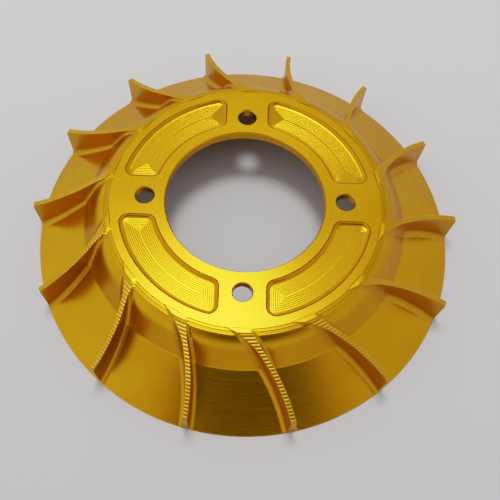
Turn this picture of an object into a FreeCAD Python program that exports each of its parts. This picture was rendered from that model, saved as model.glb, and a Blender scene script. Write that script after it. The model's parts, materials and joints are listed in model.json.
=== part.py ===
import FreeCAD, Part
import math
import os

import Sketcher

# Cooling fan wheel for a small engine's flywheel: one aluminium billet, turned and then milled.
# Origin: on the wheel's axis, in the plane that the rim stands on. +Z runs up the axis towards the flange.
# The bolt holes lie on +X, +Y, -X and -Y. Millimetres and degrees throughout.

DIMENSIONS = {
    # whole wheel
    "total_height": 22.1,
    "rim_radius": 72.1,
    "rim_land": 0.3,
    "wall": 2.5,
    # mounting flange
    "bore_radius": 26.25,
    "flange_radius": 44.55,
    "flange_thickness": 3.5,
    "edge_break": 0.3,
    "bolt_circle_radius": 33.0,
    "bolt_hole_radius": 3.1,
    "bolt_count": 4,
    # kidney pockets in the flange's top face
    "pocket_inner_radius": 29.9,
    "pocket_outer_radius": 41.9,
    "spoke_width": 14.2,
    "pocket_corner": 2.4,
    "pocket_depth": 1.2,
    "pocket_floor_radius": 1.1,
    # hub surface between the blades: rounded shoulder, steep cone, flatter rim cone
    "shoulder_radius": 11.0,
    "lip_slope": 18.0,
    "cone_slope": 57.0,
    "cone_foot_height": 11.55,
    # blades
    "blade_count": 14,
    "blade_first_angle": 0.19,
    "blade_thickness": 1.65,
    "blade_bend_radius": 53.8,
    "bend_centre_radius": 92.5,
    "blade_top_start_radius": 45.9,
    "blade_tip_radius": 71.9,
    "blade_tip_height": 13.6,
    "blade_tip_round": 0.8,
}

# Points of the hub surface, as formulas of the cells above.
SHOULDER_CENTRE_R = "(dims.flange_radius - dims.shoulder_radius * sin(dims.lip_slope * 1 deg))"
SHOULDER_CENTRE_Z = "(dims.total_height - dims.shoulder_radius * cos(dims.lip_slope * 1 deg))"
SHOULDER_END_R = f"({SHOULDER_CENTRE_R} + dims.shoulder_radius * sin(dims.cone_slope * 1 deg))"
SHOULDER_END_Z = f"({SHOULDER_CENTRE_Z} + dims.shoulder_radius * cos(dims.cone_slope * 1 deg))"
CONE_RUN = f"(({SHOULDER_END_Z} - dims.cone_foot_height) / tan(dims.cone_slope * 1 deg))"
FOOT_R = f"({SHOULDER_END_R} + {CONE_RUN})"
RIM_DROP = "(dims.cone_foot_height - dims.rim_land)"
RIM_SLOPE = f"(atan({RIM_DROP} / (dims.rim_radius - {FOOT_R})) / (1 deg))"

# The inner surface runs parallel to the outer one, a wall's thickness below it.
MITRE_SLOPE = f"((dims.cone_slope + {RIM_SLOPE}) / 2 * 1 deg)"
MITRE_LENGTH = f"(dims.wall / cos((dims.cone_slope - {RIM_SLOPE}) / 2 * 1 deg))"
INNER_FOOT_R = f"({FOOT_R} - {MITRE_LENGTH} * sin({MITRE_SLOPE}))"
INNER_FOOT_Z = f"(dims.cone_foot_height - {MITRE_LENGTH} * cos({MITRE_SLOPE}))"
SEAT_Z = "(dims.total_height - dims.flange_thickness)"
SEAT_EDGE_R = f"({INNER_FOOT_R} - ({SEAT_Z} - {INNER_FOOT_Z}) / tan(dims.cone_slope * 1 deg))"
RIM_INNER_R = f"({INNER_FOOT_R} + {INNER_FOOT_Z} / tan({RIM_SLOPE} * 1 deg))"

# Centre of the arc that each blade follows, placed so that the tip lies on the blade's own X axis.
BEND_ANGLE = (
    "acos((dims.blade_tip_radius ^ 2 + dims.bend_centre_radius ^ 2 - dims.blade_bend_radius ^ 2)"
    " / (2 * dims.blade_tip_radius * dims.bend_centre_radius))"
)
BEND_X = f"(dims.bend_centre_radius * cos({BEND_ANGLE}))"
BEND_Y = f"(-dims.bend_centre_radius * sin({BEND_ANGLE}))"

CLEAR = 1.0  # how far a cutting profile runs past the metal that it removes


def make_sheet(doc):
    """Put the driving dimensions in a spreadsheet, one named cell each."""
    sheet = doc.addObject("Spreadsheet::Sheet", "dims")
    for row, (name, value) in enumerate(DIMENSIONS.items(), start=1):
        sheet.set(f"A{row}", name)
        sheet.set(f"B{row}", str(value))
        sheet.setAlias(f"B{row}", name)
    doc.recompute()
    return sheet


def new_body(doc, name):
    """Start a body whose label names its file."""
    body = doc.addObject("PartDesign::Body", name)
    body.Label = name
    body.Placement = FreeCAD.Placement()
    return body


def origin_plane(body, role):
    """The body's own origin plane with the given role."""
    for feature in body.Origin.OriginFeatures:
        if feature.Role == role:
            return feature
    raise ValueError(f"{body.Name} has no {role}")


def new_sketch(body, name, role, height=None):
    """A sketch on one of the body's origin planes, lifted by a height formula if there is one."""
    sketch = body.newObject("Sketcher::SketchObject", name)
    sketch.AttachmentSupport = [(origin_plane(body, role), "")]
    sketch.MapMode = "FlatFace"
    if height:
        sketch.setExpression("AttachmentOffset.Base.z", height)
    return sketch


def value_of(sketch, formula):
    """The number that a formula gives now."""
    result = sketch.evalExpression(formula)
    return float(getattr(result, "Value", result))


def pin(sketch, kind, name, formula, *where):
    """Add one driven size to a sketch and bind it to its formula."""
    index = sketch.addConstraint(Sketcher.Constraint(kind, *where, value_of(sketch, formula)))
    sketch.renameConstraint(index, name)
    sketch.setExpression(f"Constraints.{name}", formula)


def draw_side(sketch, start, end, centre):
    """Draw one side of an outline; returns its index and which of its ends is the start."""
    if centre is None:
        return sketch.addGeometry(Part.LineSegment(start, end)), (1, 2)
    middle = FreeCAD.Vector(value_of(sketch, centre[1]), value_of(sketch, centre[2]), 0)
    circle = Part.Circle(middle, FreeCAD.Vector(0, 0, 1), (start - middle).Length)
    first = math.atan2(start.y - middle.y, start.x - middle.x)
    last = math.atan2(end.y - middle.y, end.x - middle.x)
    if (last - first) % (2 * math.pi) < math.pi:
        return sketch.addGeometry(Part.ArcOfCircle(circle, first, last)), (1, 2)
    return sketch.addGeometry(Part.ArcOfCircle(circle, last, first)), (2, 1)


def draw_outline(sketch, corners):
    """Draw a closed outline.

    Each corner is (name, x formula, y formula) and may end with the arc that leads on to the next
    corner, as (radius formula, centre x formula, centre y formula).
    """
    points = [FreeCAD.Vector(value_of(sketch, corner[1]), value_of(sketch, corner[2]), 0) for corner in corners]
    sides = []
    for index, corner in enumerate(corners):
        arc = corner[3] if len(corner) > 3 else None
        sides.append(draw_side(sketch, points[index], points[(index + 1) % len(corners)], arc))
    for index, (side, ends) in enumerate(sides):
        before, before_ends = sides[index - 1]
        sketch.addConstraint(Sketcher.Constraint("Coincident", before, before_ends[1], side, ends[0]))
    for corner, (side, ends) in zip(corners, sides):
        pin(sketch, "DistanceX", corner[0] + "_x", corner[1], -1, 1, side, ends[0])
        pin(sketch, "DistanceY", corner[0] + "_y", corner[2], -1, 1, side, ends[0])
        if len(corner) > 3:
            pin(sketch, "Radius", corner[0] + "_radius", corner[3][0], side)


def turn(body, name, corners, kind="PartDesign::Revolution"):
    """Turn an outline in the XZ plane about the axis, as metal or (a Groove) as a cut."""
    sketch = new_sketch(body, name + "_profile", "XZ_Plane")
    draw_outline(sketch, corners)
    feature = body.newObject(kind, name)
    feature.Profile = sketch
    feature.ReferenceAxis = (sketch, ["V_Axis"])
    feature.Angle = 360
    body.Document.recompute()
    return feature


def pocket(body, name, sketch, depth):
    """Sink a sketch into the top face by a depth formula, and check that it took metal away."""
    before = body.Shape.Volume
    feature = body.newObject("PartDesign::Pocket", name)
    feature.Profile = sketch
    feature.setExpression("Length", depth)
    body.Document.recompute()
    if feature.Shape.Volume >= before:
        raise ValueError(f"{name} took no metal away")
    return feature


def repeat_round_axis(body, name, feature, count):
    """Repeat a feature round the wheel's axis."""
    pattern = body.newObject("PartDesign::PolarPattern", name)
    pattern.Originals = [feature]
    pattern.Axis = (feature.Profile[0], ["N_Axis"])
    pattern.Angle = 360
    pattern.setExpression("Occurrences", count)
    body.Tip = pattern
    body.Document.recompute()
    return pattern


def edge_names(shape, wanted):
    """Names of the edges that pass a test."""
    return [f"Edge{number}" for number, edge in enumerate(shape.Edges, start=1) if wanted(edge)]


def dress_edges(body, kind, name, wanted, size, formula):
    """Fillet or chamfer the edges of the body's present shape that pass a test."""
    base = body.Tip
    feature = body.newObject(kind, name)
    feature.Base = (base, edge_names(base.Shape, wanted))
    feature.setExpression(size, formula)
    body.Tip = feature
    body.Document.recompute()
    return feature


def edge_mid_radius(edge):
    """Distance of an edge's bounding-box centre from the wheel's axis."""
    return math.hypot(edge.BoundBox.Center.x, edge.BoundBox.Center.y)


def is_level(edge, height):
    """Whether an edge lies wholly at one height."""
    return abs(edge.BoundBox.ZMin - height) < 1e-4 and abs(edge.BoundBox.ZMax - height) < 1e-4


def is_upright_corner(edge):
    """Whether an edge is one of the pockets' upright corners."""
    box = edge.BoundBox
    upright = box.ZLength > 0.5 and box.XLength < 1e-4 and box.YLength < 1e-4
    return upright and edge_mid_radius(edge) > DIMENSIONS["pocket_inner_radius"] - 0.5


def is_bore_or_hole_rim(edge):
    """Whether an edge is a full circle at the mouth of the bore or of a bolt hole."""
    if not isinstance(edge.Curve, Part.Circle) or not edge.isClosed():
        return False
    return edge.Curve.Radius < DIMENSIONS["bore_radius"] + 0.1


def make_flange(doc):
    """The flat ring that bolts to the flywheel: bore, bolt holes and kidney pockets."""
    body = new_body(doc, "mounting_flange")
    turn(body, "ring", [
        ("bore_foot", "dims.bore_radius", SEAT_Z),
        ("edge_foot", "dims.flange_radius", SEAT_Z),
        ("edge_top", "dims.flange_radius", "dims.total_height"),
        ("bore_top", "dims.bore_radius", "dims.total_height"),
    ])
    make_bolt_holes(body)
    make_kidney_pockets(body)
    dress_edges(body, "PartDesign::Chamfer", "edge_breaks", is_bore_or_hole_rim, "Size", "dims.edge_break")
    return body


def make_bolt_holes(body):
    """Clearance holes on the bolt circle, the first on +X."""
    sketch = new_sketch(body, "bolt_hole_circle", "XY_Plane", "dims.total_height")
    radius = value_of(sketch, "dims.bolt_hole_radius")
    centre = FreeCAD.Vector(value_of(sketch, "dims.bolt_circle_radius"), 0, 0)
    circle = sketch.addGeometry(Part.Circle(centre, FreeCAD.Vector(0, 0, 1), radius))
    sketch.addConstraint(Sketcher.Constraint("PointOnObject", circle, 3, -1))
    pin(sketch, "DistanceX", "pitch_radius", "dims.bolt_circle_radius", -1, 1, circle, 3)
    pin(sketch, "Radius", "hole_radius", "dims.bolt_hole_radius", circle)
    hole = pocket(body, "bolt_hole", sketch, "dims.flange_thickness + 1")
    repeat_round_axis(body, "bolt_holes", hole, "dims.bolt_count")


def make_kidney_pockets(body):
    """Shallow pockets between the spokes, with straight ends parallel to the spokes."""
    side = "(dims.spoke_width / 2)"
    inner = f"sqrt(dims.pocket_inner_radius ^ 2 - {side} ^ 2)"
    outer = f"sqrt(dims.pocket_outer_radius ^ 2 - {side} ^ 2)"
    sketch = new_sketch(body, "kidney_outline", "XY_Plane", "dims.total_height")
    draw_outline(sketch, [
        ("start_inner", inner, side),
        ("start_outer", outer, side, ("dims.pocket_outer_radius", "0", "0")),
        ("end_outer", side, outer),
        ("end_inner", side, inner, ("dims.pocket_inner_radius", "0", "0")),
    ])
    kidney = pocket(body, "kidney_pocket", sketch, "dims.pocket_depth")
    repeat_round_axis(body, "kidney_pockets", kidney, "dims.bolt_count")
    dress_edges(body, "PartDesign::Fillet", "pocket_corners", is_upright_corner, "Radius", "dims.pocket_corner")
    floor = DIMENSIONS["total_height"] - DIMENSIONS["pocket_depth"]
    dress_edges(
        body, "PartDesign::Fillet", "pocket_floors", lambda edge: is_level(edge, floor),
        "Radius", "dims.pocket_floor_radius",
    )


def make_cone_wall(doc):
    """The rounded shoulder and steep cone that carry the flange above the rim."""
    body = new_body(doc, "cone_wall")
    shoulder = ("dims.shoulder_radius", SHOULDER_CENTRE_R, SHOULDER_CENTRE_Z)
    turn(body, "shoulder_and_cone", [
        ("lip_foot", "dims.flange_radius", SEAT_Z),
        ("seat_edge", SEAT_EDGE_R, SEAT_Z),
        ("inner_foot", INNER_FOOT_R, INNER_FOOT_Z),
        ("outer_foot", FOOT_R, "dims.cone_foot_height"),
        ("shoulder_end", SHOULDER_END_R, SHOULDER_END_Z, shoulder),
        ("lip_top", "dims.flange_radius", "dims.total_height"),
    ])
    return body


def make_rim_skirt(doc):
    """The flatter cone below the blades, running out to the flat rim that the wheel stands on."""
    body = new_body(doc, "rim_skirt")
    turn(body, "skirt", [
        ("inner_foot", INNER_FOOT_R, INNER_FOOT_Z),
        ("base_inner", RIM_INNER_R, "0"),
        ("base_outer", "dims.rim_radius", "0"),
        ("rim_top", "dims.rim_radius", "dims.rim_land"),
        ("outer_foot", FOOT_R, "dims.cone_foot_height"),
    ])
    return body


def draw_blade_plan(sketch):
    """The blade from above: a curved slab of even thickness, longer at both ends than the blade."""
    outline = []
    convex = "(dims.blade_bend_radius + dims.blade_thickness / 2)"
    concave = "(dims.blade_bend_radius - dims.blade_thickness / 2)"
    for name, radius, angle, leads_arc in (
        ("convex_tip", convex, "88 deg", True),
        ("convex_root", convex, "132 deg", False),
        ("concave_root", concave, "132 deg", True),
        ("concave_tip", concave, "88 deg", False),
    ):
        corner = (name, f"{BEND_X} + {radius} * cos({angle})", f"{BEND_Y} + {radius} * sin({angle})")
        outline.append(corner + ((radius, BEND_X, BEND_Y),) if leads_arc else corner)
    draw_outline(sketch, outline)


def cut_blade_top(body):
    """Turn away everything above the blades' sloping top edge and outside their tips."""
    drop = "(dims.total_height - dims.blade_tip_height)"
    slope = f"atan({drop} / (dims.blade_tip_radius - dims.blade_top_start_radius))"
    setback = f"(dims.blade_tip_round * tan((90 deg - {slope}) / 2))"
    centre_r = "(dims.blade_tip_radius - dims.blade_tip_round)"
    centre_z = f"(dims.blade_tip_height - {setback})"
    far = "dims.rim_radius + 10"
    turn(body, "top_cut", [
        ("slope_start", "dims.blade_top_start_radius", "dims.total_height"),
        ("slope_end", f"{centre_r} + dims.blade_tip_round * sin({slope})",
         f"{centre_z} + dims.blade_tip_round * cos({slope})", ("dims.blade_tip_round", centre_r, centre_z)),
        ("round_end", "dims.blade_tip_radius", centre_z),
        ("foot", "dims.blade_tip_radius", f"-{CLEAR}"),
        ("far_foot", far, f"-{CLEAR}"),
        ("far_top", far, f"dims.total_height + {CLEAR}"),
        ("slope_over", "dims.blade_top_start_radius", f"dims.total_height + {CLEAR}"),
    ], "PartDesign::Groove")


def cut_blade_foot(body):
    """Turn away the space that the flange, the shoulder, the cone and the rim fill."""
    near = "dims.flange_radius - 15"
    shoulder = ("dims.shoulder_radius", SHOULDER_CENTRE_R, SHOULDER_CENTRE_Z)
    turn(body, "foot_cut", [
        ("near_foot", near, f"-{CLEAR}"),
        ("rim_foot", "dims.rim_radius", f"-{CLEAR}"),
        ("rim_top", "dims.rim_radius", "dims.rim_land"),
        ("outer_foot", FOOT_R, "dims.cone_foot_height"),
        ("shoulder_end", SHOULDER_END_R, SHOULDER_END_Z, shoulder),
        ("lip_top", "dims.flange_radius", "dims.total_height"),
        ("lip_over", "dims.flange_radius", f"dims.total_height + {CLEAR}"),
        ("near_top", near, f"dims.total_height + {CLEAR}"),
    ], "PartDesign::Groove")


def make_blade(doc, number):
    """One curved blade, standing on the cone and the rim, turned to its own place round the axis."""
    body = new_body(doc, f"blade_{number:02d}")
    plan = new_sketch(body, "blade_plan", "XY_Plane")
    draw_blade_plan(plan)
    slab = body.newObject("PartDesign::Pad", "slab")
    slab.Profile = plan
    slab.setExpression("Length", "dims.total_height")
    doc.recompute()
    cut_blade_top(body)
    cut_blade_foot(body)
    body.Placement = FreeCAD.Placement(FreeCAD.Vector(), FreeCAD.Rotation(FreeCAD.Vector(0, 0, 1), 1))
    turn_angle = f"(dims.blade_first_angle + {number - 1} * 360 / dims.blade_count) * 1 deg"
    body.setExpression("Placement.Rotation.Angle", turn_angle)
    return body


def check_document(doc, bodies):
    """Stop before anything is written if a feature failed or a shape isn't one sound solid."""
    for item in doc.Objects:
        if "Invalid" in item.State or "Error" in item.State:
            raise ValueError(f"{item.Name} has state {item.State}")
    for body in bodies:
        shape = body.Shape
        if shape.isNull() or not shape.isValid() or len(shape.Solids) != 1:
            raise ValueError(f"{body.Label} isn't one valid solid")
        print(f"{body.Label}: volume {shape.Volume:.1f} mm3")


def main():
    doc = FreeCAD.newDocument("fan_wheel")
    make_sheet(doc)
    bodies = [make_flange(doc), make_cone_wall(doc), make_rim_skirt(doc)]
    for number in range(1, DIMENSIONS["blade_count"] + 1):
        bodies.append(make_blade(doc, number))
    doc.recompute()
    check_document(doc, bodies)
    os.makedirs("parts", exist_ok=True)
    for body in bodies:
        body.Shape.exportStep(f"parts/{body.Label}.step")


main()
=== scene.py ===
"""Gold anodised cooling fan that bolts onto a small engine's flywheel.

The machined billet is rebuilt with its tool marks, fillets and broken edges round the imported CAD
frame, then set on a pale table under soft light. Lengths inside the classes are in millimetres,
and meshes are made in metres. The studio's lamp is the one thing that is placed in metres.
"""

import json
import logging
import math
from dataclasses import dataclass, field
from enum import Enum
from typing import Sequence

import bpy
import numpy as np
from mathutils import Matrix, Vector
from mathutils.geometry import delaunay_2d_cdt


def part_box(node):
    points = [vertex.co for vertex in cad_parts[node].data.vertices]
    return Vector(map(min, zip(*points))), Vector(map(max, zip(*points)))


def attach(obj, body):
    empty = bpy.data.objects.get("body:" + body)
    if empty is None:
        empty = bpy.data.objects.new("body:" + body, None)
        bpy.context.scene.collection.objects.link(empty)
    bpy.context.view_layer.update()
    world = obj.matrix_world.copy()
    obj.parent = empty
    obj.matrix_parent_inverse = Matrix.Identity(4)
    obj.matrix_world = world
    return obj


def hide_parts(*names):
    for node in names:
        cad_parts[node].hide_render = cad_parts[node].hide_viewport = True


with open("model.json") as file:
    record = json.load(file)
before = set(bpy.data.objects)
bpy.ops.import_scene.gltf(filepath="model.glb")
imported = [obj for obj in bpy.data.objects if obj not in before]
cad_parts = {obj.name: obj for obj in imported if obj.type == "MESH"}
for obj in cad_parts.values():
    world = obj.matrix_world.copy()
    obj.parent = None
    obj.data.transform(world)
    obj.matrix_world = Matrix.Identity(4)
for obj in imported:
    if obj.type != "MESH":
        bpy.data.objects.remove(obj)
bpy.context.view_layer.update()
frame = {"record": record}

MM = 0.001
TURN = 2.0 * math.pi
log = logging.getLogger("fan")


# ---------------------------------------------------------------- shader maths


class Signal:
    """A shader socket that can be used in Python sums."""

    def __init__(self, bench: "NodeBench", socket: bpy.types.NodeSocket) -> None:
        """Keeps a socket and the bench that adds nodes after it.

        Args:
            bench: the bench whose tree the socket belongs to.
            socket: the output socket.
        """
        self.bench = bench
        self.socket = socket

    def __add__(self, other: "Value") -> "Signal":
        """Sum of two values."""
        return self.bench.maths("ADD", self, other)

    __radd__ = __add__

    def __mul__(self, other: "Value") -> "Signal":
        """Product of two values."""
        return self.bench.maths("MULTIPLY", self, other)

    __rmul__ = __mul__

    def __sub__(self, other: "Value") -> "Signal":
        """This value less the other."""
        return self.bench.maths("SUBTRACT", self, other)

    def __rsub__(self, other: "Value") -> "Signal":
        """The other value less this one."""
        return self.bench.maths("SUBTRACT", other, self)

    def __truediv__(self, other: "Value") -> "Signal":
        """This value over the other."""
        return self.bench.maths("DIVIDE", self, other)


Value = Signal | float | int
Colour = tuple[float, float, float]


class NodeBench:
    """Adds nodes to one tree."""

    def __init__(self, tree: bpy.types.NodeTree) -> None:
        """Takes a tree and empties it.

        Args:
            tree: the node tree of a material or a world.
        """
        self.tree = tree
        tree.nodes.clear()

    def node(
        self,
        kind: str,
        settings: dict[str, object] | None = None,
        inputs: dict[str | int, object] | None = None,
    ) -> bpy.types.Node:
        """Adds a node of any type.

        Args:
            kind: the node's type.
            settings: its properties, which are set first.
            inputs: the values or links of its sockets, by name or number.

        Returns:
            The node.
        """
        made = self.tree.nodes.new(kind)
        for key, value in (settings or {}).items():
            setattr(made, key, value)
        for key, value in (inputs or {}).items():
            if isinstance(value, Signal):
                self.tree.links.new(value.socket, made.inputs[key])
            elif isinstance(value, bpy.types.NodeSocket):
                self.tree.links.new(value, made.inputs[key])
            else:
                made.inputs[key].default_value = value
        return made

    def signal(
        self,
        kind: str,
        settings: dict[str, object] | None = None,
        inputs: dict[str | int, object] | None = None,
        output: str | int = 0,
    ) -> Signal:
        """Adds a node and gives one of its outputs.

        Args:
            kind: the node's type.
            settings: its properties.
            inputs: the values or links of its sockets.
            output: the output's name or number.

        Returns:
            That output as a signal.
        """
        return Signal(self, self.node(kind, settings, inputs).outputs[output])

    def maths(self, operation: str, *terms: Value, clamp: bool = False) -> Signal:
        """Adds a Math node.

        Args:
            operation: what the node works out.
            terms: its values in order.
            clamp: whether the answer is kept from 0 to 1.

        Returns:
            The answer.
        """
        return self.signal(
            "ShaderNodeMath",
            {"operation": operation, "use_clamp": clamp},
            dict(enumerate(terms)),
        )

    def vector(self, operation: str, *terms: object, output: str = "Vector") -> Signal:
        """Adds a Vector Math node.

        Args:
            operation: what the node works out.
            terms: its vectors in order.
            output: "Vector", or "Value" for a length or dot product.

        Returns:
            The answer.
        """
        return self.signal(
            "ShaderNodeVectorMath",
            {"operation": operation},
            dict(enumerate(terms)),
            output,
        )

    def noise(
        self, place: Signal, scale: float, detail: float, roughness: float = 0.5
    ) -> Signal:
        """Adds a noise texture.

        Args:
            place: where it is looked up.
            scale: how many waves there are to a unit.
            detail: how many finer layers it has.
            roughness: how strong those are.

        Returns:
            The noise, about 0.5 on average.
        """
        inputs = {
            "Vector": place,
            "Scale": scale,
            "Detail": detail,
            "Roughness": roughness,
        }
        return self.signal("ShaderNodeTexNoise", inputs=inputs)

    def step(self, value: Value, low: float, high: float) -> Signal:
        """Adds a smooth step that rises from 0 at low to 1 at high.

        Args:
            value: the value to judge.
            low: where the step starts.
            high: where the step ends.

        Returns:
            The step's height.
        """
        return self.signal(
            "ShaderNodeMapRange",
            {"interpolation_type": "SMOOTHSTEP"},
            {0: value, 1: low, 2: high, 3: 0.0, 4: 1.0},
        )

    def blend(self, factor: Value, first: object, second: object) -> Signal:
        """Adds a colour mix.

        Args:
            factor: 0 for the first colour, 1 for the second.
            first: a colour or a signal.
            second: a colour or a signal.

        Returns:
            The mixed colour.
        """
        made = self.node("ShaderNodeMix", {"data_type": "RGBA"}, {0: factor})
        for index, colour in ((6, first), (7, second)):
            if isinstance(colour, Signal):
                self.tree.links.new(colour.socket, made.inputs[index])
            else:
                made.inputs[index].default_value = (*colour, 1.0)
        return Signal(self, made.outputs[2])


# ------------------------------------------------------------------- finishes


class Marks(Enum):
    """The way that a cutter's marks run over a surface."""

    TURNED = "rings round the fan's axis"
    SIDE_MILLED = "level lines along a wall"


@dataclass(frozen=True)
class AnodisedGold:
    """Satin gold anodising over machined aluminium.

    The dye is a little uneven, fine tool marks run round the axis or along the walls, and sharp
    edges are painted a lighter gold, partly for polish and partly as a painted highlight.
    """

    name: str
    marks: Marks
    body: Colour = (0.575, 0.264, 0.0018)
    deep: Colour = (0.52, 0.230, 0.0012)
    # Lighter gold for the marked edges: partly polish, partly a painted highlight.
    polish_and_sheen: Colour = (0.66, 0.34, 0.008)
    glance: Colour = (0.92, 0.80, 0.64)
    roughness: float = 0.28
    grain: float = 0.05
    line_pitch: float = 0.40
    line_height: float = 0.010
    anisotropy: float = 0.15
    clear: float = 0.08
    clear_roughness: float = 0.24
    clear_ior: float = 1.55
    cloud_scale: float = 55.0

    def material(self) -> bpy.types.Material:
        """Builds the finish.

        Returns:
            The material.
        """
        made = bpy.data.materials.new(self.name)
        made.use_nodes = True
        bench = NodeBench(made.node_tree)
        place = bench.signal("ShaderNodeTexCoord", output="Object")
        up = bench.signal("ShaderNodeSeparateXYZ", inputs={0: place}, output="Z") / MM
        flat = bench.vector("MULTIPLY", place, (1.0, 1.0, 0.0))
        out = bench.vector("LENGTH", flat, output="Value") / MM
        across = out - up if self.marks is Marks.TURNED else out * 0.2 - up
        lines = self._lines(bench, across)
        scuffs = self._scuffs(bench, flat, across)
        cloud = bench.noise(place, self.cloud_scale, 3.0, 0.6)
        dye = bench.step(cloud, 0.35, 0.68)
        edge = bench.signal(
            "ShaderNodeAttribute", {"attribute_name": "edge"}, output="Fac"
        )
        # Painted highlight and polish: a patchy mask over the points marked as edges, which mixes
        # in the lighter gold and lowers the roughness.
        polish_and_sheen = edge * bench.step(cloud + scuffs * 0.35, 0.42, 0.78)
        colour = bench.blend(dye * 0.75 + lines * 0.12, self.deep, self.body)
        colour = bench.blend(polish_and_sheen * 0.75, colour, self.polish_and_sheen)
        gloss = (
            self.roughness
            + (scuffs - 0.5) * self.grain
            + (lines - 0.5) * 0.05
            - polish_and_sheen * 0.06
        )
        relief = lines * 0.7 + scuffs * 0.3
        bump = bench.node(
            "ShaderNodeBump",
            inputs={
                "Strength": 1.0,
                "Distance": self.line_height * MM,
                "Height": relief,
            },
        )
        shader = bench.node(
            "ShaderNodeBsdfPrincipled",
            inputs={
                "Base Color": colour,
                "Metallic": 1.0,
                "Roughness": gloss,
                "Anisotropic": self.anisotropy,
                "Anisotropic Rotation": 0.25,
                "Specular Tint": (*self.glance, 1.0),
                "Coat Weight": self.clear,
                "Coat Roughness": self.clear_roughness,
                "Coat IOR": self.clear_ior,
                "Normal": bump.outputs[0],
            },
        )
        bench.node("ShaderNodeOutputMaterial", inputs={0: shader.outputs[0]})
        return made

    def _lines(self, bench: NodeBench, across: Signal) -> Signal:
        """Tool lines at an even pitch whose depth changes from line to line.

        Args:
            bench: the material's bench.
            across: the distance across the lines, in millimetres.

        Returns:
            The lines' height from 0 to 1.
        """
        wave = bench.maths("SINE", across * (TURN / self.line_pitch)) * 0.5 + 0.5
        uneven = bench.signal(
            "ShaderNodeTexNoise",
            {"noise_dimensions": "1D"},
            {"W": across * 0.9, "Scale": 1.0, "Detail": 4.0, "Roughness": 0.7},
        )
        return bench.maths(
            "ADD", wave * (uneven * 0.9 + 0.1), uneven * 0.4, clamp=True
        )

    def _scuffs(self, bench: NodeBench, flat: Signal, across: Signal) -> Signal:
        """Fine broken streaks that follow the tool lines.

        Args:
            bench: the material's bench.
            flat: the place on the surface seen from above.
            across: the distance across the lines, in millimetres.

        Returns:
            The streaks' strength from 0 to 1.
        """
        heading = bench.vector("NORMALIZE", flat)
        coarse = bench.signal(
            "ShaderNodeVectorMath", {"operation": "SCALE"}, {0: heading, "Scale": 9.0}
        )
        lift = bench.signal("ShaderNodeCombineXYZ", inputs={2: across * 6.0})
        return bench.noise(bench.vector("ADD", coarse, lift), 1.3, 3.0, 0.65)


@dataclass(frozen=True)
class TableTop:
    """Plain pale board with a faint, fine mottle, painted darker towards the near side as painted
    shade where less light reaches it.
    """

    name: str = "pale_table"
    light: Colour = (0.685, 0.682, 0.692)
    # Painted shade: the darker colour that the near side of the board is painted.
    painted_shade: Colour = (0.530, 0.515, 0.550)
    painted_shade_from: float = -0.16
    light_from: float = 0.14

    def material(self) -> bpy.types.Material:
        """Builds the board's surface.

        Returns:
            The material.
        """
        made = bpy.data.materials.new(self.name)
        made.use_nodes = True
        bench = NodeBench(made.node_tree)
        place = bench.signal("ShaderNodeTexCoord", output="Object")
        broad = bench.noise(place, 6.0, 2.0)
        fine = bench.noise(place, 900.0, 2.0)
        depth = bench.signal("ShaderNodeSeparateXYZ", inputs={0: place}, output="Y")
        # Painted shade: the board goes from the darker colour on the near side to the lighter one
        # on the far side.
        shade = bench.step(depth, self.painted_shade_from, self.light_from)
        colour = bench.blend(
            shade * 0.8 + broad * 0.15 + fine * 0.1, self.painted_shade, self.light
        )
        shader = bench.node(
            "ShaderNodeBsdfPrincipled",
            inputs={
                "Base Color": colour,
                "Roughness": 0.55 + fine * 0.1,
                "Specular IOR Level": 0.3,
            },
        )
        bench.node("ShaderNodeOutputMaterial", inputs={0: shader.outputs[0]})
        return made


# --------------------------------------------------------------------- meshes


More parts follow.
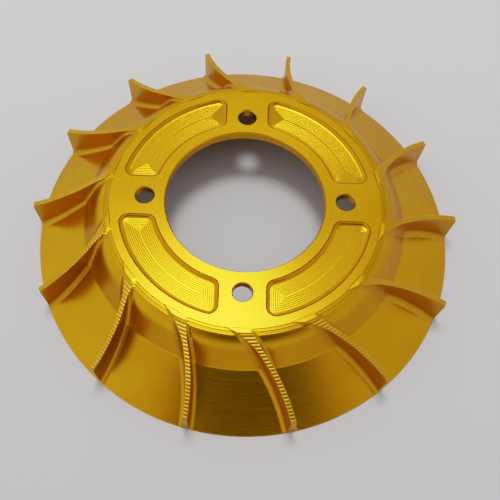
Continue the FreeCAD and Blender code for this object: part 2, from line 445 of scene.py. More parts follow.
class Draft:
    """A mesh under construction, with a share of lighter gold at every point, for polished edges
    and painted highlight.
    """

    def __init__(self) -> None:
        """Starts with no points."""
        self.points: list[np.ndarray] = []
        self.edge_polish_and_sheen: list[np.ndarray] = []
        self.faces: list[tuple[int, ...]] = []
        self.second: list[tuple[int, int]] = []
        self.count = 0

    def add(self, points: np.ndarray, edge_polish_and_sheen: float | np.ndarray = 0.0) -> np.ndarray:
        """Adds points.

        Args:
            points: places in millimetres, with the last axis of length 3.
            edge_polish_and_sheen: how much lighter gold each is painted, from 0 to 1, for polish
                and painted highlight.

        Returns:
            Their numbers, in the same shape as the places.
        """
        shape = points.shape[:-1]
        size = int(np.prod(shape))
        self.points.append(points.reshape(-1, 3))
        self.edge_polish_and_sheen.append(np.broadcast_to(edge_polish_and_sheen, shape).reshape(-1))
        numbers = np.arange(self.count, self.count + size).reshape(shape)
        self.count += size
        return numbers

    def skin(
        self,
        rows: np.ndarray,
        close_rows: bool = False,
        close_columns: bool = False,
        flip: bool = False,
    ) -> None:
        """Covers a table of points with four-sided faces.

        Args:
            rows: point numbers as a table.
            close_rows: whether the last row joins the first.
            close_columns: whether the last column joins the first.
            flip: whether the faces look the other way.
        """
        table = rows
        if close_rows:
            table = np.vstack([table, table[:1]])
        if close_columns:
            table = np.hstack([table, table[:, :1]])
        a, b = table[:-1, :-1], table[:-1, 1:]
        c, d = table[1:, 1:], table[1:, :-1]
        corners = (a, d, c, b) if flip else (a, b, c, d)
        faces = np.stack([k.ravel() for k in corners], 1)
        self.faces.extend(map(tuple, faces.tolist()))

    def second_finish(self, first: int) -> None:
        """Gives the piece's second finish to the faces from a number on, up to the last so far.

        Args:
            first: the number of the first such face.
        """
        self.second.append((first, len(self.faces)))

    def plate(self, rings: Sequence[np.ndarray], flip: bool = False) -> None:
        """Fills the flat area inside the first ring and outside the others.

        Args:
            rings: point numbers of closed rings, the outer one first.
            flip: whether it faces down.
        """
        numbers = np.concatenate(rings)
        everything = np.concatenate(self.points)
        places = everything[numbers][:, :2]
        edges: list[tuple[int, int]] = []
        start = 0
        for ring in rings:
            size = len(ring)
            edges += [(start + i, start + (i + 1) % size) for i in range(size)]
            start += size
        _, _, found, origins, _, _ = delaunay_2d_cdt(
            [Vector(p) for p in places], edges, [], 0, 1e-7
        )
        holes = [everything[ring][:, :2] for ring in rings[1:]]
        outer = everything[rings[0]][:, :2]
        for triangle in found:
            corners = [origins[k][0] for k in triangle]
            middle = places[corners].mean(0)
            if not inside(middle, outer) or any(inside(middle, h) for h in holes):
                continue
            face = tuple(int(numbers[k]) for k in corners)
            p = places[corners[0]]
            one, two = places[corners[1]] - p, places[corners[2]] - p
            anticlockwise = one[0] * two[1] > one[1] * two[0]
            self.faces.append(face if anticlockwise != flip else face[::-1])

    def build(self, name: str, sharp: float = 32.0) -> bpy.types.Object:
        """Makes the object.

        Args:
            name: the piece's name.
            sharp: edges that turn more than this many degrees stay crisp.

        Returns:
            The object, linked into the scene.
        """
        mesh = bpy.data.meshes.new(name)
        places = np.concatenate(self.points) * MM
        mesh.from_pydata(places.tolist(), [], self.faces)
        for first, last in self.second:
            for polygon in mesh.polygons[first:last]:
                polygon.material_index = 1
        mesh.update()
        mesh.validate()
        # Share of lighter gold at each point, for polished edges and painted highlight.
        edge_polish_and_sheen = mesh.attributes.new("edge", "FLOAT", "POINT")
        edge_polish_and_sheen.data.foreach_set("value", np.concatenate(self.edge_polish_and_sheen).astype(np.float32))
        mesh.shade_smooth()
        mesh.set_sharp_from_angle(angle=math.radians(sharp))
        made = bpy.data.objects.new(name, mesh)
        bpy.context.scene.collection.objects.link(made)
        return made


def inside(point: np.ndarray, outline: np.ndarray) -> bool:
    """Tells whether a point lies within a closed outline.

    Args:
        point: x and y.
        outline: the outline's corners in order.

    Returns:
        True if it does.
    """
    x, y = point
    x0, y0 = outline[:, 0], outline[:, 1]
    x1, y1 = np.roll(x0, -1), np.roll(y0, -1)
    spans = (y0 > y) != (y1 > y)
    with np.errstate(divide="ignore", invalid="ignore"):
        crossing = x0 + (y - y0) * (x1 - x0) / (y1 - y0)
    return bool(np.count_nonzero(spans & (x < crossing)) % 2)


def polar(radius: np.ndarray, angle: np.ndarray, height: np.ndarray) -> np.ndarray:
    """Places in millimetres from radius, angle and height.

    Args:
        radius: distances from the axis.
        angle: angles about it, in radians.
        height: heights above the table.

    Returns:
        An array whose last axis is x, y and z.
    """
    radius, angle, height = np.broadcast_arrays(radius, angle, height)
    return np.stack([radius * np.cos(angle), radius * np.sin(angle), height], -1)


def ring_angles(count: int) -> np.ndarray:
    """Evenly spaced angles round one turn."""
    return np.arange(count) * (TURN / count)


def dress(
    piece: bpy.types.Object,
    finishes: Sequence[bpy.types.Material],
    nodes: Sequence[str],
) -> None:
    """Gives a piece its finishes and its body, and hides and logs the CAD nodes that it stands
    for.

    Args:
        piece: the piece.
        finishes: its material, and the one of its second faces if it has any.
        nodes: the CAD nodes.
    """
    for finish in finishes:
        piece.data.materials.append(finish)
    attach(piece, "root")
    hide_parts(*nodes)
    log.info(
        "%s: %d points, %d faces, for %s",
        piece.name,
        len(piece.data.vertices),
        len(piece.data.polygons),
        ", ".join(nodes),
    )


# ---------------------------------------------------------------- sub-assemblies


@dataclass
class HubProfile:
    """The outline that the hub is turned to, as height against radius.

    Each row of levels is a depth below the top on the smooth outline, the depth that the cutter
    reached there, and how much lighter gold the place is painted, partly for polish and partly as
    a painted highlight.
    """

    top: float
    seat: float
    lip_radius: float
    foot_radius: float
    foot_height: float
    rim_radius: float
    rim_land: float = 0.3
    wall: float = 2.5
    shoulder_radius: float = 11.0
    lip_slope: float = 18.0
    cone_slope: float = 57.0
    foot_round: float = 2.0
    arc_points: int = 60
    levels: tuple[tuple[float, float, float], ...] = (
        (0.0, 0.0, 0.4),
        (0.055, 0.26, 0.0),
        (0.08, 0.29, 0.0),
        (0.35, 0.37, 0.2),
        (0.37, 0.39, 0.3),
        (0.425, 0.62, 0.0),
        (0.45, 0.65, 0.0),
        (0.72, 0.73, 0.2),
        (0.77, 0.84, 0.0),
        (0.86, 0.86, 0.0),
    )
    radii: np.ndarray = field(init=False)
    heights: np.ndarray = field(init=False)

    def __post_init__(self) -> None:
        """Works out the outer line once, close enough for every mesh to read from."""
        lip = math.radians(self.lip_slope)
        steep = math.radians(self.cone_slope)
        self.centre_r = self.lip_radius - self.shoulder_radius * math.sin(lip)
        self.centre_z = self.top - self.shoulder_radius * math.cos(lip)
        self.end_r = self.centre_r + self.shoulder_radius * math.sin(steep)
        self.rim_slope = math.atan2(
            self.foot_height - self.rim_land, self.rim_radius - self.foot_radius
        )
        turn = steep - self.rim_slope
        reach = self.foot_round * math.tan(turn / 2)
        start_r = self.foot_radius - reach * math.cos(steep)
        self.blend_end = self.foot_radius + reach * math.cos(self.rim_slope)
        tilt = np.linspace(steep, self.rim_slope, 9)
        start_z = self.foot_height + reach * math.sin(steep)
        blend_r = start_r + self.foot_round * (math.sin(steep) - np.sin(tilt))
        blend_z = start_z - self.foot_round * (np.cos(tilt) - math.cos(steep))
        arc = np.linspace(lip, steep, self.arc_points)
        r = np.concatenate(
            [
                self.centre_r + self.shoulder_radius * np.sin(arc),
                blend_r,
                [self.rim_radius],
            ]
        )
        z = np.concatenate(
            [
                self.centre_z + self.shoulder_radius * np.cos(arc),
                blend_z,
                [self.rim_land],
            ]
        )
        self.radii, self.heights = r, z

    def height(self, radius: np.ndarray) -> np.ndarray:
        """Height of the smooth outer surface.

        Args:
            radius: distances from the axis.

        Returns:
            The heights.
        """
        return np.interp(radius, self.radii, self.heights)

    def lean(self, radius: np.ndarray) -> np.ndarray:
        """Cosine of the outer surface's slope.

        Args:
            radius: distances from the axis.

        Returns:
            The cosines.
        """
        fall = (self.height(radius + 0.02) - self.height(radius - 0.02)) / 0.04
        return 1.0 / np.sqrt(1.0 + fall**2)

    def stepped(self, height: float) -> float:
        """Height with the cutter's level steps near the top put in.

        Args:
            height: a smooth height.

        Returns:
            The height that was cut.
        """
        smooth, stepped, _ = np.array(self.levels).T
        down = self.top - height
        if down >= smooth[-1]:
            return height
        return self.top - float(np.interp(down, smooth, stepped))

    def under(self, radius: float) -> float:
        """Height of the inner surface at a radius on the rim side."""
        drop = (radius - self.foot_radius) * math.tan(self.rim_slope)
        return self.foot_height - drop - self.wall / math.cos(self.rim_slope)

    def inner_line(self) -> list[tuple[float, float]]:
        """Corners of the inner surface, from the seat's edge to the base.

        Returns:
            Radius and height pairs.
        """
        flat, steep = math.tan(self.rim_slope), math.tan(math.radians(self.cone_slope))
        rim_z = self.foot_height - self.wall / math.cos(self.rim_slope)
        cone_z = self.foot_height - self.wall / math.cos(
            math.radians(self.cone_slope)
        )
        seat_r = self.foot_radius + (cone_z - self.seat) / steep
        knee = (cone_z - rim_z) / (steep - flat)
        return [
            (seat_r, self.seat),
            (self.foot_radius + knee, rim_z - knee * flat),
            (self.foot_radius + rim_z / flat, 0.0),
        ]

    def shoulder_line(self) -> tuple[np.ndarray, np.ndarray, np.ndarray]:
        """The outer line from the lip to the cone's foot, with the ball cutter's shallow steps.

        Returns:
            Radii, heights and the share of lighter gold, for polish and painted highlight.
        """
        smooth, stepped, polish_and_sheen = np.array(self.levels).T
        rise = self.top - smooth - self.centre_z
        lip = self.centre_r + np.sqrt(self.shoulder_radius**2 - rise**2)
        arc = np.linspace(lip[-1] + 0.06, self.end_r, 16)
        below = np.concatenate([arc, self.radii[self.arc_points :]])
        below = below[below <= self.blend_end + 0.01]
        return (
            np.concatenate([lip, below]),
            np.concatenate([self.top - stepped, self.height(below)]),
            np.concatenate([polish_and_sheen, np.zeros(len(below))]),
        )


@dataclass
class HubShell:
    """The rounded shoulder with its steep cone, and the flatter cone that runs out to the rim."""

    profile: HubProfile
    around: int = 420

    def _spin(
        self, name: str, line: Sequence[tuple[float, float, float]]
    ) -> bpy.types.Object:
        """Turns a closed line round the axis.

        Args:
            name: the piece's name.
            line: radius, height and share of lighter gold at each point, for polish and painted
                highlight, anticlockwise.

        Returns:
            The piece.
        """
        draft = Draft()
        r, z, edge_polish_and_sheen = (np.array(k)[:, None] for k in zip(*line))
        rows = draft.add(polar(r, ring_angles(self.around)[None, :], z), edge_polish_and_sheen)
        draft.skin(rows, close_rows=True, close_columns=True)
        return draft.build(name, sharp=14.0)

    def cone(self) -> bpy.types.Object:
        """Builds the shoulder and the steep cone.

        Returns:
            The piece.
        """
        p = self.profile
        r, z, edge_polish_and_sheen = p.shoulder_line()
        seat, knee, _ = p.inner_line()
        split = p.blend_end
        line = [
            (split, p.under(split), 0.0),
            *self._run(split, p.under(split), *knee, 6),
            *self._run(*knee, *seat, 14),
            *self._run(*seat, p.lip_radius, p.seat, 3),
            *self._run(p.lip_radius, p.seat, p.lip_radius, p.top, 3)[:-1],
            *zip(r, z, edge_polish_and_sheen),
        ]
        return self._spin("shoulder_and_cone", line[::-1])

    def rim(self) -> bpy.types.Object:
        """Builds the rim cone with its thin, broken edge and flat base.

        Returns:
            The piece.
        """
        p = self.profile
        _, _, base = p.inner_line()
        split = p.blend_end
        z = float(p.height(np.array(split)))
        line = [
            (split, z, 0.0),
            *self._run(split, z, p.rim_radius - 0.22, p.rim_land + 0.139, 60),
            # The broken rim edge is painted lighter gold: polish and painted highlight.
            (p.rim_radius - 0.09, p.rim_land + 0.045, 1.0),
            (p.rim_radius - 0.01, p.rim_land - 0.05, 1.0),
            (p.rim_radius, p.rim_land - 0.12, 0.6),
            (p.rim_radius, 0.08, 0.6),
            (p.rim_radius - 0.08, 0.0, 1.0),
            *self._run(p.rim_radius - 0.08, 0.0, *base, 8),
            *self._run(*base, split, p.under(split), 30),
        ]
        return self._spin("rim_skirt_turned", line[::-1])

    @staticmethod
    def _run(
        r0: float, z0: float, r1: float, z1: float, parts: int
    ) -> list[tuple[float, float, float]]:
        """Points along a straight stretch, without its start.

        Args:
            r0: radius at the start.
            z0: height at the start.
            r1: radius at the end.
            z1: height at the end.
            parts: how many parts it is divided into.

        Returns:
            Radius, height and share of lighter gold of each point.
        """
        return [
            (r0 + (r1 - r0) * k / parts, z0 + (z1 - z0) * k / parts, 0.0)
            for k in range(1, parts + 1)
        ]


@dataclass
class MountingFlange:
    """The flat ring with the bore, four screw holes and four kidney pockets."""

    top: float
    seat: float
    outer_radius: float
    bore_radius: float
    hole_circle: float
    hole_radius: float
    hole_count: int
    pocket_inner: float = 29.9
    pocket_outer: float = 41.9
    spoke_width: float = 14.2
    pocket_corner: float = 3.1
    pocket_depth: float = 1.2
    pocket_inset: float = 1.6
    pass_width: float = 0.65
    pass_ridge: float = 0.032
    chamfer: float = 0.3
    around: int = 420
    hole_around: int = 64
    arc_points: int = 73
    corner_points: int = 9

    def _circle(
        self,
        draft: Draft,
        centre: tuple[float, float],
        radius: float,
        level: float,
        count: int,
        edge_polish_and_sheen: float = 0.0,
    ) -> np.ndarray:
        """Adds a level circle of points.

        Args:
            draft: the mesh.
            centre: x and y of its middle.
            radius: its radius.
            level: its height.
            count: how many points it has.
            edge_polish_and_sheen: how much lighter gold it is painted, for polish and painted
                highlight.

        Returns:
            The point numbers.
        """
        places = polar(np.array(radius), ring_angles(count), np.array(level))
        return draft.add(places + np.array([*centre, 0.0]), edge_polish_and_sheen)

    def _hole(
        self, draft: Draft, centre: tuple[float, float], radius: float, count: int
    ) -> tuple[np.ndarray, np.ndarray]:
        """Adds a through hole with both mouths chamfered.

        Args:
            draft: the mesh.
            centre: x and y of the hole.
            radius: its radius.
            count: points round it.

        Returns:
            The outermost rings on the top and on the underside.
        """
        c = self.chamfer
        # The last number of each step is the share of lighter gold: the chamfers get polish and
        # painted highlight.
        steps = [
            (radius + c + 0.28, self.top, 0.0),
            (radius + c + 0.04, self.top, 0.8),
            (radius + c, self.top - 0.02, 1.0),
            (radius + 0.03, self.top - c, 1.0),
            (radius, self.top - c - 0.05, 0.5),
            (radius, self.top - c - 0.4, 0.0),
            (radius, self.seat + c + 0.4, 0.0),
            (radius, self.seat + c, 0.5),
            (radius + c, self.seat, 1.0),
            (radius + c + 0.28, self.seat, 0.0),
        ]
        rings = np.stack(
            [self._circle(draft, centre, r, z, count, w) for r, z, w in steps]
        )
        draft.skin(rings, close_columns=True)
        return rings[0], rings[-1]

    def _kidney(self, inset: float) -> np.ndarray:
        """The outline of a pocket, moved in by an even distance.

        Args:
            inset: how far in.

        Returns:
            x and y pairs in order, for the pocket in the first quarter.
        """
        outer, inner = self.pocket_outer - inset, self.pocket_inner + inset
        side = self.spoke_width / 2 + inset
        corner = max(self.pocket_corner - inset, 0.05)
        corner = min(corner, (outer - inner) * 0.45)
        offset = side + corner

        def corner_centre(radius: float) -> tuple[float, float]:
            """Middle of a corner arc at the pocket's lower end."""
            return math.sqrt(radius**2 - offset**2), offset

        ox, oy = corner_centre(outer - corner)
        ix, iy = corner_centre(inner + corner)
        start = math.atan2(oy, ox)
        inner_start = math.atan2(iy, ix)
        sweep = np.linspace(start, math.pi / 2 - start, self.arc_points)
        outer_arc = np.stack([outer * np.cos(sweep), outer * np.sin(sweep)], 1)
        back = np.linspace(math.pi / 2 - inner_start, inner_start, self.arc_points)
        inner_arc = np.stack([inner * np.cos(back), inner * np.sin(back)], 1)
        turn = np.linspace(-math.pi / 2, start, self.corner_points)[:-1]
        low_outer = np.stack(
            [ox + corner * np.cos(turn), oy + corner * np.sin(turn)], 1
        )
        turn = np.linspace(
            inner_start + math.pi, 1.5 * math.pi, self.corner_points
        )[1:]
        low_inner = np.stack(
            [ix + corner * np.cos(turn), iy + corner * np.sin(turn)], 1
        )
        flat = np.linspace(low_inner[-1], low_outer[0], self.corner_points)[1:-1]
        end = np.concatenate([low_inner, flat, low_outer])
        far_end = end[::-1, ::-1]
        return np.concatenate([outer_arc, far_end, inner_arc, end])

    def _pocket_level(self, inset: float) -> float:
        """Height of the pocket's surface at a distance in from its outline.

        Args:
            inset: the distance.

        Returns:
            The height.
        """
        reach, depth = self.pocket_inset, self.pocket_depth
        ball = (reach**2 + depth**2) / (2 * depth)
        if inset < reach:
            return self.top - depth + ball - math.sqrt(ball**2 - (reach - inset) ** 2)
        share = ((inset - reach) / self.pass_width) % 1.0
        return self.top - depth + self.pass_ridge * (2 * share - 1) ** 4

    def _pocket(self, draft: Draft, quarter: int) -> np.ndarray:
        """Adds a pocket with its rounded wall and the cutter's passes on its floor.

        Args:
            draft: the mesh.
            quarter: which of the four it is.

        Returns:
            The ring on the flange's top just outside it.
        """
        half = (self.pocket_outer - self.pocket_inner) / 2
        mouth_insets = [-0.25, -0.05, 0.0, 0.03]
        wall = np.linspace(0.1, self.pocket_inset, 9)
        passes = np.arange(self.pocket_inset, half - 0.12, self.pass_width / 6)[1:]
        insets = [*mouth_insets, *wall, *passes, half - 0.06]
        angle = quarter * TURN / 4
        spin = np.array(
            [[math.cos(angle), math.sin(angle)], [-math.sin(angle), math.cos(angle)]]
        )
        rows = []
        for inset in insets:
            flat = self._kidney(inset) @ spin
            if inset < 0:
                level = self.top
            elif inset == 0.0:
                level = self.top - 0.03
            else:
                level = min(self._pocket_level(inset), self.top - 0.05)
            # The pocket's mouth is painted lighter gold: polish and painted highlight.
            edge_polish_and_sheen = 1.0 if -0.1 < inset < 0.05 else 0.0
            places = np.column_stack([flat, np.full(len(flat), level)])
            rows.append(draft.add(places, edge_polish_and_sheen))
        table = np.stack(rows)
        mouth = len(mouth_insets)
        draft.skin(table[:mouth], close_columns=True)
        first_face = len(draft.faces)
        draft.skin(table[mouth - 1 :], close_columns=True)
        (outer, far), (inner, near) = (
            (side[: self.arc_points], side[self.arc_points :])
            for side in np.split(table[-1], 2)
        )
        draft.skin(np.stack([outer, inner[::-1]]))
        joints = [
            (outer[-1], far[0], far[-1], inner[0]),
            (inner[-1], near[0], near[-1], outer[0]),
        ]
        for strip in (far, near, *joints):
            draft.faces.append(tuple(int(k) for k in strip))
        draft.second_finish(first_face)
        return table[0]

    def build(self) -> bpy.types.Object:
        """Builds the flange.

        Returns:
            The piece.
        """
        draft = Draft()
        middle = (0.0, 0.0)
        bore_top, bore_low = self._hole(draft, middle, self.bore_radius, self.around)
        holes = [
            self._hole(
                draft,
                (
                    self.hole_circle * math.cos(angle),
                    self.hole_circle * math.sin(angle),
                ),
                self.hole_radius,
                self.hole_around,
            )
            for angle in ring_angles(self.hole_count)
        ]
        pockets = [self._pocket(draft, k) for k in range(4)]
        outside, within = self.outer_radius, self.outer_radius - 0.3
        # The top's outer edge is painted partly lighter gold: polish and painted highlight.
        steps = [
            (within, self.top, 0.0),
            (outside, self.top, 0.7),
            (outside, self.seat, 0.0),
            (within, self.seat, 0.0),
        ]
        rims = np.stack(
            [self._circle(draft, middle, r, z, self.around, w) for r, z, w in steps]
        )
        draft.skin(rims, close_columns=True, flip=True)
        draft.plate([rims[0], bore_top, *(h[0] for h in holes), *pockets])
        draft.plate([rims[-1], bore_low, *(h[1] for h in holes)], flip=True)
        return draft.build("mounting_flange_milled", sharp=16.0)


@dataclass
class Blades:
    """The 14 curved blades with ball-milled feet and stepped tops."""

    profile: HubProfile
    count: int = 14
    first_angle: float = 0.19
    thickness: float = 1.65
    bend_radius: float = 53.8
    bend_centre: float = 92.5
    top_start: float = 45.9
    tip_radius: float = 71.9
    tip_height: float = 13.6
    tip_round: float = 0.8
    foot_round: float = 2.0
    sink: float = 0.03
    edge_round: float = 0.20
    first_crest: float = 46.6
    crest_pitch: float = 0.983
    crest_height: float = 0.10
    crest_fade: float = 0.5
    crest_stations: int = 8
    soft_from: float = 46.4
    soft_over: float = 2.0
    soft_least: float = 0.3
    # Lighter gold on the blade tops, more at each crest: painted highlight on the crests, with
    # some polish.
    bare_polish_and_sheen: float = 0.05
    crest_polish_and_sheen: float = 0.45

    def _angle(self, radius: np.ndarray, sweep: np.ndarray) -> np.ndarray:
        """Angle of a point at a radius from the axis and a distance from the bend's centre.

        Args:
            radius: distances from the axis.
            sweep: distances from the bend's centre.

        Returns:
            Angles in the blade's own frame, 0 at its tip.
        """
        c = self.bend_centre
        at_tip = (self.tip_radius**2 + c**2 - self.bend_radius**2) / (
            2 * self.tip_radius * c
        )
        here = (radius**2 + c**2 - sweep**2) / (2 * radius * c)
        return np.arccos(here) - math.acos(at_tip)

    def _top(self, radius: np.ndarray) -> np.ndarray:
        """Height of the blade's stepped top.

        Args:
            radius: distances from the axis.

        Returns:
            The heights.
        """
        slope = (self.profile.top - self.tip_height) / (
            self.tip_radius - self.top_start
        )
        line = self.profile.top - np.clip(radius - self.top_start, 0, None) * slope
        share = ((radius - self.first_crest) / self.crest_pitch) % 1.0
        dip = self.crest_height * (0.5 - 0.5 * np.cos(TURN * share))
        fade = np.clip((radius - self.top_start) / self.crest_fade, 0, 1)
        past = np.clip(radius - (self.tip_radius - self.tip_round), 0, self.tip_round)
        corner = self.tip_round - np.sqrt(self.tip_round**2 - past**2)
        return line - dip * fade - corner

    def _stations(self) -> np.ndarray:
        """Radii of the cross-sections, close enough to show every ridge.

        Returns:
            The radii from the lip to the tip.
        """
        start = self.profile.lip_radius
        corner = self.tip_radius - self.tip_round
        flat = np.linspace(start, self.top_start, 8)[:-1]
        spacing = self.crest_pitch / self.crest_stations
        ridges = np.arange(self.top_start, corner, spacing)
        angle = np.linspace(0, 0.5 * math.pi, 8)
        return np.concatenate([flat, ridges, corner + self.tip_round * np.sin(angle)])

    def _half_section(self, radius: float) -> list[tuple[float, float, float]]:
        """One side of a cross-section, from the foot up to the top's middle.

        Args:
            radius: its distance from the axis.

        Returns:
            Distance from the blade's middle surface, height and share of lighter gold of each
            point.
        """
        here = np.array(radius)
        floor = float(self.profile.height(here))
        lean = float(self.profile.lean(here))
        top = float(self._top(here))
        ball, half = self.foot_round, self.thickness / 2
        soft = (radius - self.soft_from) / self.soft_over
        soft = self.edge_round * min(max(soft, self.soft_least), 1.0)
        room = (top - 2.2 * soft - floor + self.sink) * lean
        if room >= ball:
            near = 0.0
        elif room <= 0:
            near = ball * 0.999
        else:
            near = ball - math.sqrt(ball**2 - (ball - room) ** 2)
        points = [(half + ball + 0.02, max(floor - 0.5, 0.04), 0.0)]
        outs = near + (ball - near) * (1 - np.linspace(0, 1, 13)) ** 1.6
        if self.profile.top - top < 0.8:
            down = np.array(self.profile.levels)[:, 0]
            rises = (self.profile.top - down - floor + self.sink) * lean
            rises = rises[(rises > 0.001) & (rises < ball)]
            crossings = ball - np.sqrt(ball**2 - (ball - rises) ** 2)
            crossings = crossings[crossings > near + 0.001]
            spare = len(self.profile.levels) - len(crossings)
            outs = np.concatenate(
                [outs, crossings, near + (ball - near) * np.linspace(0.3, 0.7, spare)]
            )
        else:
            extra = np.linspace(0.04, 0.96, len(self.profile.levels))
            outs = np.concatenate([outs, near + (ball - near) * extra])
        for out in np.sort(outs)[::-1]:
            rise = ball - math.sqrt(max(ball**2 - (ball - out) ** 2, 0.0))
            level = self.profile.stepped(floor + rise / lean - self.sink)
            level = min(level, top - 2.0 * soft)
            points.append((half + float(out), level, 0.0))
        foot = points[-1][1]
        side = half + near
        for k in range(1, 6):
            points.append((side, foot + (top - soft - foot) * k / 5, 0.0))
        # The rounded top edge is painted lighter gold: polish and painted highlight.
        for k in range(1, 4):
            angle = k / 3 * math.pi / 2
            out = side - soft * (1 - math.cos(angle))
            level = top - soft * (1 - math.sin(angle))
            points.append((out, level, 0.6 if k > 1 else 0.3))
        edge = points[-1][0]
        # The top is painted a little lighter gold all over and more at each crest: painted
        # highlight on the crests, with some polish.
        share = (radius - self.first_crest) / self.crest_pitch
        top_polish_and_sheen = 0.0
        if radius > self.first_crest - 0.3:
            crest = max(math.cos(TURN * share), 0.0) ** 2
            top_polish_and_sheen = self.bare_polish_and_sheen + self.crest_polish_and_sheen * crest
        for k in range(1, 4):
            points.append((edge * (1 - k / 3), top, top_polish_and_sheen))
        return points

    def _section_table(self) -> tuple[np.ndarray, np.ndarray]:
        """All cross-sections of one blade in its own frame.

        Returns:
            Places and shares of lighter gold.
        """
        places, edge_polish_and_sheen = [], []
        for radius in self._stations():
            side = np.array(self._half_section(float(radius)))
            left, right = side, side[:-1][::-1]
            offset = np.concatenate([left[:, 0], -right[:, 0]])
            level, top_polish_and_sheen = np.concatenate([left[:, 1:], right[:, 1:]]).T
            angle = self._angle(radius, self.bend_radius + offset)
            places.append(polar(radius, angle, level))
            edge_polish_and_sheen.append(top_polish_and_sheen)
        return np.stack(places), np.stack(edge_polish_and_sheen)

    def build(self, number: int) -> bpy.types.Object:
        """Builds one blade in its place.

        Args:
            number: which blade, from 1.

        Returns:
            The piece.
        """
        places, edge_polish_and_sheen = self._section_table()
        turn = math.radians(self.first_angle) + (number - 1) * TURN / self.count
        spin = np.array(
            [
                [math.cos(turn), math.sin(turn), 0],
                [-math.sin(turn), math.cos(turn), 0],
                [0, 0, 1],
            ]
        )
        draft = Draft()
        table = draft.add(places @ spin, edge_polish_and_sheen)
        mouth = 1 + int(np.argmin(np.abs(self._stations() - self.first_crest)))
        draft.skin(table[: mouth + 1], close_columns=True)
        draft.second_finish(0)
        draft.skin(table[mouth:], close_columns=True)
        pairs = table.shape[1] // 2
        for row, flip in ((table[0], True), (table[-1], False)):
            ladder = np.stack([row[:pairs], row[::-1][:pairs]])
            draft.skin(ladder, flip=flip)
            tip = (int(row[pairs - 1]), int(row[pairs]), int(row[pairs + 1]))
            draft.faces.append(tip if flip else tip[::-1])
        return draft.build(f"blade_{number:02d}_milled", sharp=38.0)


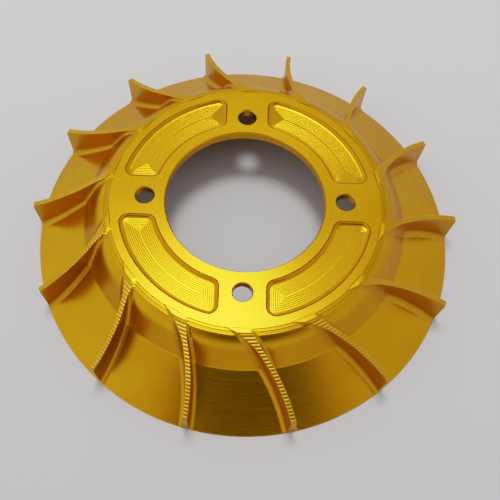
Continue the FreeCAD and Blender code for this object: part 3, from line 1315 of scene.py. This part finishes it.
@dataclass(frozen=True)
class Studio:
    """Pale table, one soft lamp overhead, the room's even glow, and the camera.

    The lamp's size and place are in metres, and the maker's half-widths are sines of angles.
    """

    heading: float = 1.1615
    elevation: float = 63.8826
    roll: float = 1.1405
    distance: float = 192.72
    aim: tuple[float, float] = (-5.77, -18.01)
    lens: float = 44.106
    shift: tuple[float, float] = (0.0491, -0.0061)
    table_radius: float = 2200.0
    lamp_size: float = 0.27
    lamp_energy: float = 1.62
    lamp_colour: Colour = (1.0, 0.985, 0.96)
    lamp_place: tuple[float, float, float] = (-0.05, 0.20, 0.84)
    glow: float = 0.44
    ceiling_loss: float = 0.16
    ceiling_edge: tuple[float, float] = (0.35, 0.95)
    side_loss: float = 0.07
    room_colour: Colour = (1.0, 0.99, 0.975)
    maker_colour: Colour = (1.0, 0.76, 0.68)
    maker_heading: float = 276.5
    maker_height: float = 39.0
    maker_across: float = 0.43
    maker_above: float = 0.22
    maker_shade: float = 0.975
    maker_edge: tuple[float, float] = (0.85, 2.0)
    warm_edge: tuple[float, float] = (0.85, 2.6)
    tone: tuple[tuple[float, float], ...] = (
        (0.0, 0.0),
        (0.04, 0.10),
        (0.08, 0.20),
        (0.14, 0.34),
        (0.20, 0.435),
        (0.32, 0.577),
        (0.40, 0.648),
        (0.60, 0.75),
        (0.80, 0.81),
        (1.0, 0.845),
    )

    def camera(self, top: float) -> bpy.types.Object:
        """Sets up the camera above the near side of the fan.

        Args:
            top: height of the flange's face, which it is aimed at.

        Returns:
            The camera.
        """
        data = bpy.data.cameras.new("camera")
        data.sensor_width = 36.0
        data.lens = self.lens
        data.shift_x, data.shift_y = self.shift
        data.clip_start, data.clip_end = 0.005, 20.0
        made = bpy.data.objects.new("camera", data)
        bpy.context.scene.collection.objects.link(made)
        turn = Matrix.Rotation(math.radians(self.heading), 3, "Z")
        high = math.radians(self.elevation)
        back = turn @ Vector((0.0, -math.cos(high), math.sin(high)))
        right = turn @ Vector((1.0, 0.0, 0.0))
        up = back.cross(right)
        tilt = math.radians(self.roll)
        across = right * math.cos(tilt) + up * math.sin(tilt)
        above = up * math.cos(tilt) - right * math.sin(tilt)
        place = (Vector((*self.aim, top)) + back * self.distance) * MM
        made.matrix_world = Matrix(
            [(*axis, where) for axis, where in zip(zip(across, above, back), place)]
            + [(0, 0, 0, 1)]
        )
        bpy.context.scene.camera = made
        return made

    def table(self, finish: bpy.types.Material) -> bpy.types.Object:
        """Lays the pale table under the fan.

        Args:
            finish: its material.

        Returns:
            The table.
        """
        draft = Draft()
        radii = np.array([1.0, 60.0, 160.0, 400.0, 1000.0, self.table_radius])
        rows = draft.add(
            polar(radii[:, None], ring_angles(96)[None, :], np.array(0.0))
        )
        draft.skin(rows, close_columns=True)
        draft.faces.append(tuple(int(k) for k in rows[0]))
        made = draft.build("pale_table")
        made.data.materials.append(finish)
        return made

    def lights(self) -> None:
        """Hangs the lamp and sets the room's glow, with a dim side where the maker stands."""
        data = bpy.data.lights.new("overhead", "AREA")
        data.shape = "DISK"
        data.size = self.lamp_size
        data.energy = self.lamp_energy
        data.color = self.lamp_colour
        lamp = bpy.data.objects.new("overhead", data)
        lamp.location = self.lamp_place
        lamp.rotation_euler = (
            Vector(lamp.location).to_track_quat("Z", "Y").to_euler()
        )
        bpy.context.scene.collection.objects.link(lamp)
        world = bpy.data.worlds.new("room")
        world.use_nodes = True
        bpy.context.scene.world = world
        bench = NodeBench(world.node_tree)
        way = bench.signal("ShaderNodeTexCoord", output="Generated")
        look = bench.vector("NORMALIZE", way)
        apart = bench.node("ShaderNodeSeparateXYZ", inputs={0: look})
        side, rise = Signal(bench, apart.outputs[0]), Signal(bench, apart.outputs[2])
        ceiling = bench.step(rise, *self.ceiling_edge)
        maker, warmth = self._maker(bench, look)
        open_level = self.glow - ceiling * self.ceiling_loss - side * self.side_loss
        level = open_level * (1.0 - maker * self.maker_shade)
        colour = bench.blend(warmth, self.room_colour, self.maker_colour)
        wall = bench.node(
            "ShaderNodeBackground", inputs={"Color": colour, "Strength": level}
        )
        bench.node("ShaderNodeOutputWorld", inputs={0: wall.outputs[0]})

    def _maker(self, bench: NodeBench, look: Signal) -> tuple[Signal, Signal]:
        """The dim patch of the room that the maker covers, and the warm light round it.

        Args:
            bench: the world's bench.
            look: the direction looked at.

        Returns:
            1 within the patch and 0 outside it, and the same for the wider warm light.
        """
        heading, high = math.radians(self.maker_heading), math.radians(self.maker_height)
        ahead = (
            math.cos(heading) * math.cos(high),
            math.sin(heading) * math.cos(high),
            math.sin(high),
        )
        aside = (-math.sin(heading), math.cos(heading), 0.0)
        above = tuple(Vector(ahead).cross(Vector(aside)))
        x = bench.vector("DOT_PRODUCT", look, aside, output="Value") / self.maker_across
        y = bench.vector("DOT_PRODUCT", look, above, output="Value") / self.maker_above
        front = bench.step(
            bench.vector("DOT_PRODUCT", look, ahead, output="Value"), 0.0, 0.3
        )
        away = x * x + y * y
        dim = (1.0 - bench.step(away, *self.maker_edge)) * front
        return dim, (1.0 - bench.step(away, *self.warm_edge)) * front

    def develop(self) -> None:
        """Sets the tone curve that the picture is shown with."""
        view = bpy.context.scene.view_settings
        view.view_transform = "Standard"
        view.look = "None"
        view.use_curve_mapping = True
        curves = view.curve_mapping
        points = curves.curves[3].points
        points[0].location = self.tone[0]
        points[1].location = self.tone[-1]
        for place in self.tone[1:-1]:
            points.new(*place)
        curves.update()


# -------------------------------------------------------------- sizes and main


@dataclass
class FrameSizes:
    """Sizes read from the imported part, in millimetres."""

    flange_radius: float
    top: float
    seat: float
    foot_radius: float
    foot_height: float
    rim_radius: float
    bore_radius: float
    hole_circle: float
    hole_radius: float
    hole_count: int

    @classmethod
    def read(cls) -> "FrameSizes":
        """Reads the nodes' boxes and the record's mounts.

        Returns:
            The sizes.
        """
        low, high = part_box("mounting_flange")
        cone_low, cone_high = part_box("cone_wall")
        _, rim_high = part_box("rim_skirt")
        mounts = {m["name"]: m["dims"] for m in frame["record"]["mounts"]}
        bolts = mounts["fan_bolts"]
        return cls(
            flange_radius=round(high.x / MM, 3),
            top=round(high.z / MM, 3),
            seat=round(low.z / MM, 3),
            foot_radius=round(cone_high.x / MM, 3),
            foot_height=round(rim_high.z / MM, 3),
            rim_radius=round(rim_high.x / MM, 3),
            bore_radius=mounts["fan_bore"]["r_mm"],
            hole_circle=bolts["pcd_mm"] / 2,
            hole_radius=bolts["hole_r_mm"],
            hole_count=bolts["count"],
        )


def main() -> None:
    """Builds the fan and its studio."""
    logging.basicConfig(level=logging.INFO, format="%(name)s %(message)s")
    sizes = FrameSizes.read()
    log.info("sizes: %s", sizes)
    studio = Studio()
    studio.camera(sizes.top)
    studio.lights()
    studio.develop()
    studio.table(TableTop().material())
    profile = HubProfile(
        top=sizes.top,
        seat=sizes.seat,
        lip_radius=sizes.flange_radius,
        foot_radius=sizes.foot_radius,
        foot_height=sizes.foot_height,
        rim_radius=sizes.rim_radius,
    )
    flange_finish = AnodisedGold(
        "gold_flange",
        Marks.TURNED,
        anisotropy=0.4,
        roughness=0.29,
        grain=0.03,
        line_height=0.005,
    ).material()
    cone_finish = AnodisedGold("gold_cone", Marks.TURNED).material()
    blade_finish = AnodisedGold(
        "gold_blade",
        Marks.SIDE_MILLED,
        body=(0.54, 0.252, 0.006),
        deep=(0.49, 0.222, 0.004),
        # Lighter gold on the blades' edges and crests: partly polish, partly painted highlight.
        polish_and_sheen=(0.68, 0.42, 0.060),
        anisotropy=0.0,
        roughness=0.35,
    ).material()
    flange = MountingFlange(
        top=sizes.top,
        seat=sizes.seat,
        outer_radius=sizes.flange_radius,
        bore_radius=sizes.bore_radius,
        hole_circle=sizes.hole_circle,
        hole_radius=sizes.hole_radius,
        hole_count=sizes.hole_count,
    )
    pocket_finish = AnodisedGold(
        "gold_pocket",
        Marks.TURNED,
        roughness=0.25,
        grain=0.02,
        line_height=0.001,
        anisotropy=0.0,
    ).material()
    dress(
        flange.build(),
        [flange_finish, pocket_finish],
        ["mounting_flange"],
    )
    shell = HubShell(profile)
    dress(shell.cone(), [cone_finish], ["cone_wall"])
    dress(shell.rim(), [cone_finish], ["rim_skirt"])
    blades = Blades(profile)
    for number in range(1, blades.count + 1):
        dress(
            blades.build(number),
            [blade_finish, flange_finish],
            [f"blade_{number:02d}"],
        )


if __name__ == "__main__":
    main()
